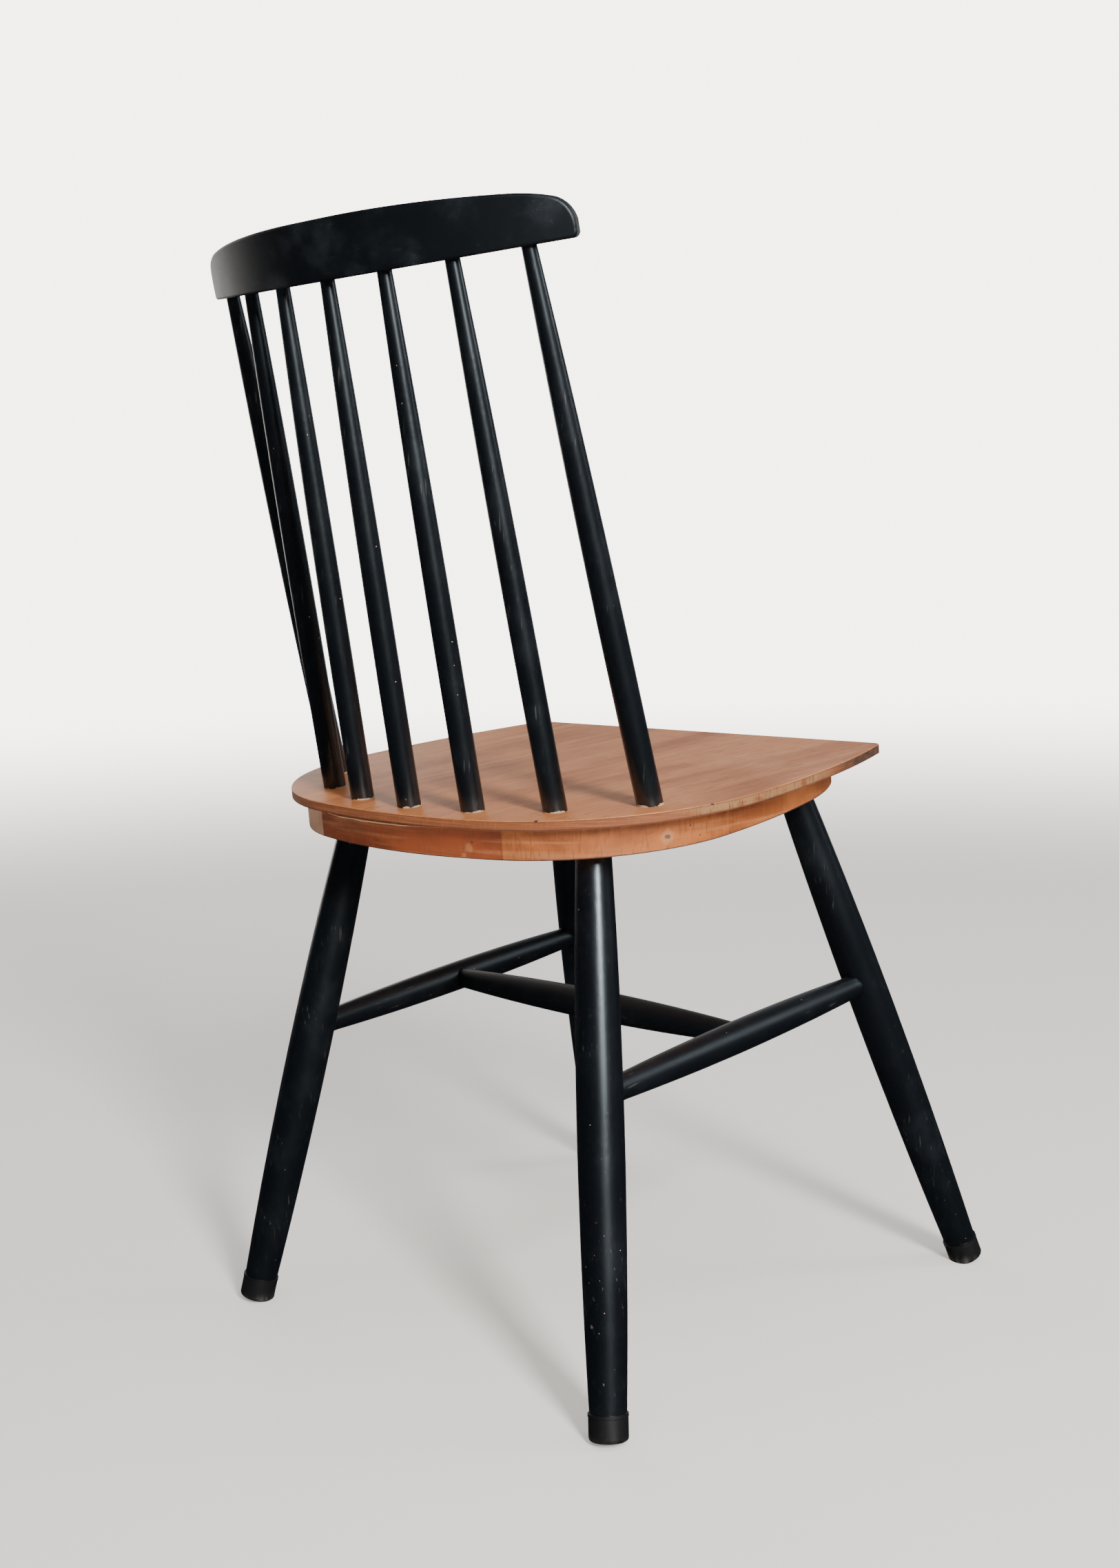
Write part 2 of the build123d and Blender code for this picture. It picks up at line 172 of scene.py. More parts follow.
class Bench:
    """The nodes of a material or a world in the making."""

    def __init__(
        self, owner: bpy.types.Material | bpy.types.World, shader: str = "Principled BSDF"
    ) -> None:
        """Starts the nodes with the usual shader.

        Args:
            owner: The new material or world.
            shader: The name of its shader node.
        """
        self.owner = owner
        self.owner.use_nodes = True
        self.tree = self.owner.node_tree
        self.shader = self.tree.nodes[shader]

    @classmethod
    def material(cls, name: str) -> Bench:
        """Starts a new material of that name."""
        return cls(bpy.data.materials.new(name))

    def node(
        self,
        kind: str,
        settings: dict[str, object] | None = None,
        sockets: dict[str | int, object] | None = None,
    ) -> bpy.types.Node:
        """Adds one node.

        Args:
            kind: The node's type, without its ShaderNode prefix.
            settings: Properties, set first.
            sockets: Values or wires of its inputs, by name or number.

        Returns:
            The node.
        """
        made = self.tree.nodes.new("ShaderNode" + kind)
        for key, value in (settings or {}).items():
            setattr(made, key, value)
        for key, value in (sockets or {}).items():
            self.connect(made.inputs[key], value)
        return made

    def wire(
        self,
        kind: str,
        settings: dict[str, object] | None = None,
        sockets: dict[str | int, object] | None = None,
        output: str | int = 0,
    ) -> Wire:
        """Adds one node and takes one of its outputs.

        Args:
            kind: The node's type, without its ShaderNode prefix.
            settings: Properties, set first.
            sockets: Values or wires of its inputs, by name or number.
            output: The output's name or number.

        Returns:
            The output.
        """
        return Wire(self, self.node(kind, settings, sockets).outputs[output])

    def connect(self, socket: bpy.types.NodeSocket, value: object) -> None:
        """Gives an input its wire or value.

        Args:
            socket: The input.
            value: A wire, a number, a vector or a colour.
        """
        if isinstance(value, Wire):
            self.tree.links.new(value.socket, socket)
        elif socket.type == "RGBA":
            socket.default_value = (*value, 1.0)
        else:
            socket.default_value = value

    def place(self) -> Wire:
        """Position on the piece, in metres."""
        return self.wire("TexCoord", output="Object")

    def axis(self, name: str) -> Wire:
        """One coordinate of the position: "X", "Y" or "Z"."""
        return self.wire("SeparateXYZ", {}, {"Vector": self.place()}, name)

    def scaled(self, density: Triple, turn: Triple = (0.0, 0.0, 0.0)) -> Wire:
        """Position for a pattern.

        Args:
            density: Repeats per metre on X, Y and Z.
            turn: Turn of the pattern, in radians.

        Returns:
            The turned and scaled position.
        """
        turned = self.wire("Mapping", {}, {"Vector": self.place(), "Rotation": turn})
        return self.wire("Mapping", {}, {"Vector": turned, "Scale": density})

    def cloud(self, at: Wire, detail: float, rough: float = 0.5, swirl: float = 0.0) -> Wire:
        """Soft random pattern.

        Args:
            at: Scaled position.
            detail: Octaves.
            rough: Share of the fine octaves.
            swirl: Distortion.

        Returns:
            Values around 0.5.
        """
        sockets = {
            "Vector": at,
            "Scale": 1.0,
            "Detail": detail,
            "Roughness": rough,
            "Distortion": swirl,
        }
        return self.wire("TexNoise", {}, sockets)

    def dots(self, density: float, radius: float, share: float) -> Wire:
        """Small round spots in random places.

        Args:
            density: Cells per metre.
            radius: Spot radius as a part of a cell.
            share: Part of the cells that have a spot.

        Returns:
            A mask.
        """
        cells = self.node("TexVoronoi", {}, {"Vector": self.place(), "Scale": density})
        picked = self.wire("SeparateColor", {}, {"Color": Wire(self, cells.outputs["Color"])})
        chosen = picked.step(1 - share, 1 - share + 0.01)
        return Wire(self, cells.outputs["Distance"]).step(radius, 0.6 * radius) * chosen

    def above(self, point: Vector, normal: Vector) -> Wire:
        """Distance above a plane.

        Args:
            point: A point on the plane.
            normal: The plane's normal.

        Returns:
            The distance in metres.
        """
        sockets = {0: self.place(), 1: tuple(normal)}
        height = self.wire("VectorMath", {"operation": "DOT_PRODUCT"}, sockets, "Value")
        return height - point.dot(normal)

    def from_point(self, point: Triple, stretch: Triple = (1.0, 1.0, 1.0)) -> Wire:
        """Distance from a point.

        Args:
            point: The point.
            stretch: Factor on each axis, for an oval mark.

        Returns:
            The distance in metres.
        """
        apart = self.wire("VectorMath", {"operation": "SUBTRACT"}, {0: self.place(), 1: point})
        oval = self.wire("VectorMath", {"operation": "MULTIPLY"}, {0: apart, 1: stretch})
        return self.wire("VectorMath", {"operation": "LENGTH"}, {0: oval}, "Value")

    def spots(self, marks: Marks, stretch: Triple, core: float) -> Wire | float:
        """Round or oval marks in given places.

        Args:
            marks: Middle and radius of each.
            stretch: Factor on each axis, for oval marks.
            core: Part of the radius inside which a mark has its full strength.

        Returns:
            A mask, or 0 where there are no marks.
        """
        mask: Wire | float = 0.0
        for point, radius in marks:
            spot = self.from_point(point, stretch).step(radius, core * radius)
            mask = spot.most(mask)
        return mask

    def mix(self, mask: Wire | float, low: Wire | Colour, high: Wire | Colour) -> Wire:
        """Mixes two colours.

        Args:
            mask: Share of the second colour.
            low: First colour.
            high: Second colour.

        Returns:
            The mixed colour.
        """
        return self.wire("Mix", {"data_type": "RGBA"}, {0: mask, 6: low, 7: high}, 2)

    def bump(self, height: Wire, depth: float, strength: float) -> Wire:
        """Surface relief.

        Args:
            height: Relief from 0 to 1.
            depth: Its depth in metres.
            strength: How much of it shows.

        Returns:
            The normal.
        """
        return self.wire("Bump", {}, {"Strength": strength, "Distance": depth, "Height": height})

    def finish(self, sockets: dict[str, object]) -> bpy.types.Material | bpy.types.World:
        """Sets the shader's sockets.

        Args:
            sockets: Values and wires by socket name.

        Returns:
            The finished material or world.
        """
        for name, value in sockets.items():
            self.connect(self.shader.inputs[name], value)
        return self.owner


@dataclass(frozen=True)
class Lacquer:
    """Black satin lacquer over beech, with fine scratches, flecks, worn spots and a painted cloudy
    sheen.
    """

    name: str
    run: Run
    # Share of the painted cloudy sheen, which is partly rubbed lacquer.
    painted_sheen_share: float = 0.35
    gloss: float = 0.75
    dullness: float = 0.24
    scratches: float = 0.22
    flecks: float = 0.16
    fleck_dots: Span = (125.0, 0.066)
    low_wear: bool = False
    low_wear_heights: Span = (0.26, 0.03)
    low_wear_dots: Triple = (180.0, 0.065, 0.42)
    chipped_feet: bool = False
    knock_heights: Span = (75 * MM, 10 * MM)
    knock_dots: Triple = (210.0, 0.075, 0.35)
    chip_height: Span = (0.8 * MM, 0.3 * MM)
    chip_spread: float = 6 * MM
    dust_height: Span = (9 * MM, 1 * MM)
    dust_spread: float = 20 * MM
    haze_density: Triple = (22.0, 22.0, 22.0)
    stroke_density: Span = (420.0, 9.0)
    hairline_density: Span = (700.0, 48.0)
    hairline_slant: Triple = (0.10, 0.07, 0.05)
    worn_density: Triple = (170.0, 170.0, 120.0)
    chip_density: Triple = (150.0, 150.0, 60.0)
    relief_depth: float = 0.12 * MM
    black: Colour = (0.0022, 0.0027, 0.0040)
    # Painted sheen, partly rubbed lacquer: the grey-blue that cloudy patches lift the black
    # towards.
    rub_wear_and_painted_sheen: Colour = (0.014, 0.0165, 0.021)
    sheen: Colour = (0.80, 0.92, 1.0)
    wood: Colour = (0.44, 0.33, 0.22)
    bare_wood: Colour = (0.52, 0.40, 0.26)
    undercoat: Colour = (0.16, 0.135, 0.11)

    def make(self) -> bpy.types.Material:
        """Builds the material.

        Returns:
            The material.
        """
        bench = Bench.material(self.name)
        clouds = bench.cloud(bench.scaled(self.haze_density), 4.0, 0.6)
        strokes = bench.cloud(bench.scaled(self.run.squeeze(*self.stroke_density)), 2.0, 0.6)
        fine = bench.scaled(self.run.squeeze(*self.hairline_density), self.hairline_slant)
        hairlines = bench.cloud(fine, 1.0)
        worn = hairlines.step(0.69, 0.75) * clouds.step(0.42, 0.62) * self.scratches
        fleck = bench.dots(*self.fleck_dots, self.flecks)
        if self.low_wear:
            low = bench.axis("Z").step(*self.low_wear_heights)
            rubs = bench.cloud(bench.scaled(self.worn_density), 3.0, 0.7)
            fleck = fleck.most(bench.dots(*self.low_wear_dots) * low)
            worn = worn.most(rubs.step(0.68, 0.74) * low * 0.5)
        # Painted sheen, partly rubbed lacquer: cloudy patches lift the black towards a lighter
        # grey-blue.
        colour = bench.mix(clouds.step(0.48, 0.78) * self.painted_sheen_share, self.black, self.rub_wear_and_painted_sheen)
        colour = bench.mix(worn, colour, self.undercoat)
        colour = bench.mix(fleck * 0.75, colour, self.wood)
        bare: Wire | float = 0.0
        if self.chipped_feet:
            colour, bare = self.chip(bench, colour)
        rough = self.dullness + clouds * 0.12 + strokes * 0.05
        rough = rough + worn * 0.3 + fleck * 0.25 + bare * 0.3
        relief = strokes * 0.25 + clouds * 0.15 - fleck * 0.5 - bare * 0.6
        return bench.finish(
            {
                "Base Color": colour,
                "Roughness": rough,
                "Specular IOR Level": self.gloss,
                "Specular Tint": self.sheen,
                "Normal": bench.bump(relief, self.relief_depth, 0.5),
            }
        )

    def chip(self, bench: Bench, colour: Wire) -> tuple[Wire, Wire]:
        """Knocks and chips the lacquer just above the seat, and adds a little dust.

        Args:
            bench: The material in the making.
            colour: Its colour so far.

        Returns:
            The new colour and a mask of the bare wood.
        """
        height = bench.above(SEAT_FRONT, SEAT_UP)
        knocks = bench.dots(*self.knock_dots) * height.step(*self.knock_heights)
        colour = bench.mix(knocks * 0.6, colour, self.wood)
        ragged = bench.cloud(bench.scaled(self.chip_density), 3.0, 0.6)
        bare = (height - (ragged - 0.48) * self.chip_spread).step(*self.chip_height)
        colour = bench.mix(bare * 0.85, colour, self.bare_wood)
        dust = (height - (ragged - 0.4) * self.dust_spread).step(*self.dust_height) * 0.035
        return bench.mix(dust, colour, self.undercoat), bare


@dataclass(frozen=True)
class Rubber:
    """Dull black rubber with dust near the floor."""

    name: str = "foot_cap_rubber"
    gloss: float = 0.42
    dullness: float = 0.38
    dust_height: float = 9 * MM
    grain_density: Triple = (900.0, 900.0, 900.0)
    scuff_density: Triple = (240.0, 240.0, 60.0)
    relief_depth: float = 0.15 * MM
    black: Colour = (0.0050, 0.0052, 0.0060)
    dust: Colour = (0.09, 0.078, 0.066)

    def make(self) -> bpy.types.Material:
        """Builds the material.

        Returns:
            The material.
        """
        bench = Bench.material(self.name)
        grain = bench.cloud(bench.scaled(self.grain_density), 2.0, 0.6)
        scuffs = bench.cloud(bench.scaled(self.scuff_density), 4.0, 0.7)
        floor_dust = bench.axis("Z").step(self.dust_height, 0.0) * scuffs.step(0.35, 0.7)
        rub_wear_and_painted_sheen = scuffs.step(0.62, 0.78) * 0.12
        return bench.finish(
            {
                "Base Color": bench.mix((floor_dust * 0.7).most(rub_wear_and_painted_sheen), self.black, self.dust),
                "Roughness": self.dullness + scuffs * 0.2 + floor_dust * 0.25,
                "Specular IOR Level": self.gloss,
                "Normal": bench.bump(grain + scuffs * 0.6, self.relief_depth, 0.4),
            }
        )


@dataclass(frozen=True)
class Veneer:
    """Reddish-brown veneer over plywood, its grain running from front to back."""

    name: str = "seat_veneer"
    gloss: float = 0.42
    dullness: float = 0.40
    grain_turn: Triple = (0.0, 0.0, math.radians(5))
    streak_density: Triple = (24.0, 2.4, 2.4)
    figure_density: Triple = (85.0, 5.0, 5.0)
    fine_density: Triple = (520.0, 16.0, 16.0)
    pore_density: Triple = (1500.0, 55.0, 55.0)
    wear_density: Triple = (7.0, 7.0, 7.0)
    ply_density: Triple = (28.0, 28.0, 1300.0)
    tick_density: Triple = (650.0, 650.0, 90.0)
    patch_density: Triple = (60.0, 60.0, 160.0)
    relief_depth: float = 0.18 * MM
    top_depth: Span = (0.75 * MM, 0.45 * MM)
    top_line: tuple[Span, Span] = ((0.5 * MM, 0.7 * MM), (1.3 * MM, 1.0 * MM))
    # Painted shadow: a dark line at the bottom of the edge, where the board meets the frame.
    painted_gap_shadow: tuple[Span, Span] = ((5.9 * MM, 6.3 * MM), (6.98 * MM, 6.93 * MM))
    underside: Span = (BOARD_THICKNESS - 0.04 * MM, BOARD_THICKNESS - 0.015 * MM)
    orange_rear: Span = (0.07, 0.15)
    worn_right: Span = (-0.165, -0.200)
    worn_front: Span = (-0.075, -0.02)
    worn_rear: Span = (0.125, 0.085)
    grey_front: Span = (-0.04, -0.10)
    grey_sides: Span = (0.12, 0.16)
    warm: Colour = (0.49, 0.190, 0.076)
    brown: Colour = (0.30, 0.098, 0.036)
    pale: Colour = (0.59, 0.285, 0.145)
    orange: Colour = (0.50, 0.160, 0.036)
    pore: Colour = (0.08, 0.022, 0.010)
    ply: Colour = (0.17, 0.048, 0.014)
    ply_pale: Colour = (0.29, 0.100, 0.034)
    golden: Colour = (0.25, 0.125, 0.050)
    grey: Colour = (0.040, 0.024, 0.016)
    nick: Colour = (0.025, 0.015, 0.012)
    nick_stretch: Triple = (1.0, 0.55, 1.4)
    nicks: Marks = (
        ((-0.1266, 0.1818, 0.4155), 1.6 * MM),
        ((-0.2035, 0.0885, 0.4219), 1.1 * MM),
        ((-0.1400, 0.1760, 0.4145), 0.9 * MM),
        ((-0.1980, 0.1090, 0.4180), 0.8 * MM),
    )

    def make(self) -> bpy.types.Material:
        """Builds the material.

        Returns:
            The material.
        """
        bench = Bench.material(self.name)
        depth = bench.above(SEAT_FRONT, SEAT_UP) * -1.0
        top = depth.step(*self.top_depth)
        fine = bench.cloud(bench.scaled(self.fine_density, self.grain_turn), 3.0, 0.65)
        pores = bench.cloud(bench.scaled(self.pore_density, self.grain_turn), 1.0)
        wear = bench.cloud(bench.scaled(self.wear_density), 4.0, 0.6, 0.4)
        face = self.face(bench, fine, pores, wear)
        edge, lines = self.edge(bench, depth)
        backing = bench.mix(0.45, face, self.ply)
        colour = bench.mix(depth.step(*self.underside), edge, backing)
        colour = bench.mix(top, colour, face)
        marks = bench.spots(self.nicks, self.nick_stretch, 0.5)
        relief = fine * 0.35 - pores.step(0.58, 0.68) * 0.5 + lines * 0.4 - marks * 2.0
        return bench.finish(
            {
                "Base Color": bench.mix(marks, colour, self.nick),
                "Roughness": self.dullness + wear * 0.14 + fine * 0.08 + (1.0 - top) * 0.12,
                "Specular IOR Level": self.gloss,
                "Normal": bench.bump(relief, self.relief_depth, 0.45),
            }
        )

    def face(self, bench: Bench, fine: Wire, pores: Wire, wear: Wire) -> Wire:
        """Colours the board's top: streaks, figure, worn paler parts and pores.

        Args:
            bench: The material in the making.
            fine: The fine grain.
            pores: The pores' pattern.
            wear: Broad uneven wear.

        Returns:
            The top's colour.
        """
        streaks = bench.cloud(bench.scaled(self.streak_density, self.grain_turn), 4.0, 0.55, 0.5)
        figure = bench.cloud(bench.scaled(self.figure_density, self.grain_turn), 4.0, 0.6, 0.3)
        colour = bench.mix(streaks.step(0.34, 0.60), self.brown, self.warm)
        colour = bench.mix(figure.step(0.50, 0.72) * 0.45, colour, self.pale)
        colour = bench.mix(wear.step(0.40, 0.72) * 0.45, colour, self.pale)
        colour = bench.mix(bench.axis("Y").step(*self.orange_rear) * 0.5, colour, self.orange)
        colour = bench.mix(fine.step(0.46, 0.62) * 0.30, colour, self.brown)
        return bench.mix(pores.step(0.58, 0.66) * 0.42, colour, self.pore)

    def edge(self, bench: Bench, depth: Wire) -> tuple[Wire, Wire]:
        """Colours the board's edge: plies, golden wear, grey corners, a dark line near the top and
        a painted shadow line along the bottom, where the board meets the frame.

        Args:
            bench: The material in the making.
            depth: Depth below the seat's top.

        Returns:
            The edge's colour and its relief.
        """
        plies = bench.cloud(bench.scaled(self.ply_density), 3.0, 0.6)
        ticks = bench.cloud(bench.scaled(self.tick_density), 2.0, 0.6)
        patches = bench.cloud(bench.scaled(self.patch_density), 4.0, 0.65)
        colour = bench.mix(plies.step(0.4, 0.65) * 0.6, self.ply, self.ply_pale)
        colour = bench.mix(ticks.step(0.55, 0.7) * 0.35, colour, self.brown)
        side, back = bench.axis("X"), bench.axis("Y")
        worn = side.step(*self.worn_right)
        worn = worn * back.step(*self.worn_front) * back.step(*self.worn_rear)
        colour = bench.mix(worn * patches.step(0.30, 0.55), colour, self.golden)
        colour = bench.mix(worn * ticks.step(0.54, 0.62) * 0.6, colour, self.pore)
        corner = back.step(*self.grey_front) * side.size().step(*self.grey_sides)
        corner = corner * (0.6 + patches.step(0.35, 0.6) * 0.4)
        colour = bench.mix(corner, colour, self.grey)
        line = depth.step(*self.top_line[0]) * depth.step(*self.top_line[1])
        colour = bench.mix(line * patches.step(0.3, 0.5) * 0.7, colour, self.pore)
        # Painted shadow: a dark line along the bottom of the edge, in the gap above the frame.
        line = depth.step(*self.painted_gap_shadow[0]) * depth.step(*self.painted_gap_shadow[1])
        return bench.mix(line * 0.8, colour, self.pore), plies


@dataclass(frozen=True)
class Varnish:
    """Orange-brown varnish over beech, with cross ticks and a dark lower edge."""

    name: str
    gloss: float = 0.45
    dullness: float = 0.36
    stain_density: Triple = (14.0, 14.0, 30.0)
    layer_density: Triple = (9.0, 9.0, 260.0)
    tick_density: Triple = (700.0, 700.0, 75.0)
    ray_density: Triple = (240.0, 240.0, 24.0)
    ragged_density: Triple = (120.0, 120.0, 160.0)
    relief_depth: float = 0.15 * MM
    light: Colour = (0.37, 0.112, 0.025)
    deep: Colour = (0.20, 0.050, 0.010)
    tick: Colour = (0.16, 0.042, 0.010)
    pale: Colour = (0.44, 0.20, 0.085)
    plug: Colour = (0.10, 0.062, 0.040)
    dark: Colour = (0.035, 0.018, 0.011)
    faded: Colour = (0.42, 0.24, 0.150)
    faded_deep: Colour = (0.29, 0.150, 0.085)
    faded_end: Span | None = None
    spot_strength: float = 0.5
    pale_spots: Marks = ()
    plugs: Marks = ()
    plug_stretch: Triple = (1.0, 1.0, 1.6)
    dark_spots: Marks = ()
    line_height: Span = (1.0 * MM, 0.5 * MM)
    line_foot: Span = (0.03 * MM, 0.12 * MM)
    line_spread: float = 1.0 * MM

    def make(self) -> bpy.types.Material:
        """Builds the material.

        Returns:
            The material.
        """
        bench = Bench.material(self.name)
        stain = bench.cloud(bench.scaled(self.stain_density), 4.0, 0.6, 0.6)
        layers = bench.cloud(bench.scaled(self.layer_density), 3.0, 0.6, 0.2)
        ticks = bench.cloud(bench.scaled(self.tick_density), 2.0, 0.6)
        rays = bench.cloud(bench.scaled(self.ray_density), 3.0, 0.6)
        light: Wire | Colour = self.light
        deep: Wire | Colour = self.deep
        if self.faded_end:
            end = bench.axis("Y").step(*self.faded_end)
            light, deep = bench.mix(end, light, self.faded), bench.mix(end, deep, self.faded_deep)
        colour = bench.mix(stain.step(0.34, 0.66), deep, light)
        colour = bench.mix(layers.step(0.5, 0.7) * 0.3, colour, self.pale)
        colour = bench.mix(rays.step(0.52, 0.68) * 0.4, colour, light)
        colour = bench.mix(ticks.step(0.54, 0.66) * 0.5, colour, self.tick)
        colour, holes = self.mark(bench, colour)
        relief = ticks * 0.4 + layers * 0.2 - holes * 1.5
        return bench.finish(
            {
                "Base Color": colour,
                "Roughness": self.dullness + stain * 0.14 + ticks * 0.08,
                "Specular IOR Level": self.gloss,
                "Normal": bench.bump(relief, self.relief_depth, 0.45),
            }
        )

    def mark(self, bench: Bench, colour: Wire) -> tuple[Wire, Wire | float]:
        """Adds the board's pale spots, plugs, dark spots and dark lower edge.

        Args:
            bench: The material in the making.
            colour: Its colour so far.

        Returns:
            The new colour and a mask of the dark spots, or 0 where there are none.
        """
        ragged = bench.cloud(bench.scaled(self.ragged_density), 4.0, 0.7)
        for point, radius in self.pale_spots:
            distance = bench.from_point(point) + (ragged - 0.5) * (1.4 * radius)
            spot = distance.step(radius, 0.45 * radius) * self.spot_strength
            colour = bench.mix(spot, colour, self.pale)
        if self.plugs:
            ends = bench.spots(self.plugs, self.plug_stretch, 0.7) * ragged.step(0.25, 0.5)
            colour = bench.mix(ends, colour, self.plug)
        holes = bench.spots(self.dark_spots, (1.0, 1.0, 1.0), 0.6)
        colour = bench.mix(holes * 0.85, colour, self.dark)
        above = bench.above(SEAT_FRONT, SEAT_UP) + (BOARD_THICKNESS + FRAME_THICKNESS)
        line = (above + (ragged - 0.5) * self.line_spread).step(*self.line_height)
        line = line * above.step(*self.line_foot)
        return bench.mix(line * 0.9, colour, self.dark), holes


@dataclass(frozen=True)
class RawWood:
    """Unfinished pale wood, for dowels and torn plies."""

    name: str
    light: Colour = (0.58, 0.41, 0.25)
    deep: Colour = (0.40, 0.25, 0.14)
    run: Run = Run.ACROSS
    gloss: float = 0.3
    dullness: float = 0.62
    fibre_density: Span = (900.0, 30.0)
    broad_density: Span = (120.0, 12.0)
    relief_depth: float = 0.12 * MM

    def make(self) -> bpy.types.Material:
        """Builds the material.

        Returns:
            The material.
        """
        bench = Bench.material(self.name)
        fibre = bench.cloud(bench.scaled(self.run.squeeze(*self.fibre_density)), 3.0, 0.6)
        broad = bench.cloud(bench.scaled(self.run.squeeze(*self.broad_density)), 3.0, 0.6)
        colour = bench.mix(broad.step(0.35, 0.65), self.deep, self.light)
        return bench.finish(
            {
                "Base Color": bench.mix(fibre.step(0.5, 0.7) * 0.4, colour, self.deep),
                "Roughness": self.dullness + fibre * 0.15,
                "Specular IOR Level": self.gloss,
                "Normal": bench.bump(fibre, self.relief_depth, 0.5),
            }
        )


def deselect() -> None:
    """Leaves nothing selected."""
    bpy.ops.object.select_all(action="DESELECT")


def pick(piece: bpy.types.Object, chosen: Callable[[Vector], bool]) -> None:
    """Selects the vertices of a piece in edit mode by their place.

    Args:
        piece: The piece in edit mode.
        chosen: Says whether a vertex at that place is wanted.
    """
    mesh = bmesh.from_edit_mesh(piece.data)
    for corner in mesh.verts:
        corner.select_set(chosen(corner.co))
    mesh.select_flush(True)
    bmesh.update_edit_mesh(piece.data)


def dress(piece: bpy.types.Object, material: bpy.types.Material) -> None:
    """Gives a piece its one material."""
    piece.data.materials.clear()
    piece.data.materials.append(material)


def dress_node(piece: bpy.types.Object, material: bpy.types.Material) -> None:
    """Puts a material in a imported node's slots.

    Args:
        piece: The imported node.
        material: Its finish.
    """
    for place in piece.material_slots:
        place.material = material
    log.info("dressed %s", piece.name)


@dataclass
class Underframe:
    """Four turned legs with foot caps, two side stretchers and a cross stretcher."""

    nodes: dict[str, bpy.types.Object]
    legs: Lacquer = Lacquer("leg_lacquer", Run.UP, low_wear=True)
    sides: Lacquer = Lacquer("side_stretcher_lacquer", Run.BACK, gloss=0.45, dullness=0.34)
    cross: Lacquer = Lacquer("cross_stretcher_lacquer", Run.ACROSS, gloss=0.35, dullness=0.42)
    caps: Rubber = Rubber()

    def dress(self) -> None:
        """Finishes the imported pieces."""
        finishes = {
            "front_leg": self.legs.make(),
            "rear_leg": self.legs.make(),
            "side_stretcher": self.sides.make(),
            "cross_stretcher": self.cross.make(),
            "foot_cap": self.caps.make(),
        }
        for name, node in self.nodes.items():
            for start, material in finishes.items():
                if name.startswith(start):
                    dress_node(node, material)


@dataclass
class Back:
    """Seven spindles and the bent top rail."""

    nodes: dict[str, bpy.types.Object]
    spindles: Lacquer = Lacquer("spindle_lacquer", Run.UP, flecks=0.10, chipped_feet=True)
    # The rail has the strongest painted cloudy sheen.
    rail: Lacquer = Lacquer(
        "rail_lacquer", Run.ACROSS, painted_sheen_share=1.0, gloss=0.5, dullness=0.40, flecks=0.03, scratches=0.1
    )

    def dress(self) -> None:
        """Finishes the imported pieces."""
        spindle, rail = self.spindles.make(), self.rail.make()
        for name, node in self.nodes.items():
            if name.startswith("spindle"):
                dress_node(node, spindle)
            elif name == "top_rail":
                dress_node(node, rail)


@dataclass
class SeatFrame:
    """Four boards under the seat and the dowels in their joints."""

    nodes: dict[str, bpy.types.Object]
    # The rear board's varnish is redder than the others, and darker as painted shade.
    rear: Varnish = Varnish(
        "rear_board_varnish",
        light=(0.24, 0.050, 0.011),
        deep=(0.13, 0.026, 0.006),
        spot_strength=0.34,
        pale_spots=(((-0.0683, 0.1887, 0.3928), 4.5 * MM), ((-0.0640, 0.1890, 0.3870), 3 * MM)),
        dark_spots=(((-0.0715, 0.1884, 0.3969), 0.9 * MM),),
    )
    right: Varnish = Varnish(
        "right_board_varnish",
        pale_spots=(((-0.1792, 0.1072, 0.3999), 6.5 * MM),),
        plugs=(((-0.1792, 0.1072, 0.3999), 2.8 * MM),),
        dark_spots=(((-0.1850, 0.0898, 0.4060), 0.9 * MM), ((-0.1867, 0.0814, 0.3986), 0.8 * MM)),
    )
    left: Varnish = Varnish("left_board_varnish", faded_end=(0.055, 0.115))
    front: Varnish = Varnish("front_board_varnish")
    pegs: RawWood = RawWood("dowel_wood")
    flat: float = math.radians(0.4)
    ease: float = 0.55 * MM
    ease_steps: int = 2

    def dress(self) -> None:
        """Finishes the dowels and makes the four boards."""
        boards = {
            "frame_rear_rail": self.rear,
            "frame_side_rail_right": self.right,
            "frame_side_rail_left": self.left,
            "frame_front_rail": self.front,
        }
        dress_node(self.nodes["frame_dowels"], self.pegs.make())
        for name, finish in boards.items():
            self.board(name, finish)

    def board(self, name: str, finish: Varnish) -> None:
        """Copies a packed board and eases its edges, so that the joints show as fine grooves.

        Args:
            name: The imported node.
            finish: Its varnish.
        """
        piece = bpy.data.objects.new(name.replace("frame_", "eased_"), self.nodes[name].data.copy())
        bpy.context.scene.collection.objects.link(piece)
        deselect()
        piece.select_set(True)
        bpy.context.view_layer.objects.active = piece
        bpy.ops.mesh.customdata_custom_splitnormals_clear()
        bpy.ops.object.mode_set(mode="EDIT")
        bpy.ops.mesh.select_all(action="SELECT")
        bpy.ops.mesh.remove_doubles(threshold=MERGE_DISTANCE)
        bpy.ops.mesh.dissolve_limited(angle_limit=self.flat)
        bpy.ops.object.mode_set(mode="OBJECT")
        bpy.ops.object.shade_smooth_by_angle(angle=SHARP_ANGLE)
        bpy.ops.object.modifier_add(type="BEVEL")
        bevel = piece.modifiers[-1]
        bevel.width = self.ease
        bevel.segments = self.ease_steps
        bevel.limit_method = "ANGLE"
        bevel.angle_limit = SHARP_ANGLE
        bevel.harden_normals = True
        bpy.ops.object.modifier_apply(modifier=bevel.name)
        dress(piece, finish.make())
        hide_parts(name)
        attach(piece, "root")
        log.info("modelled %s", piece.name)


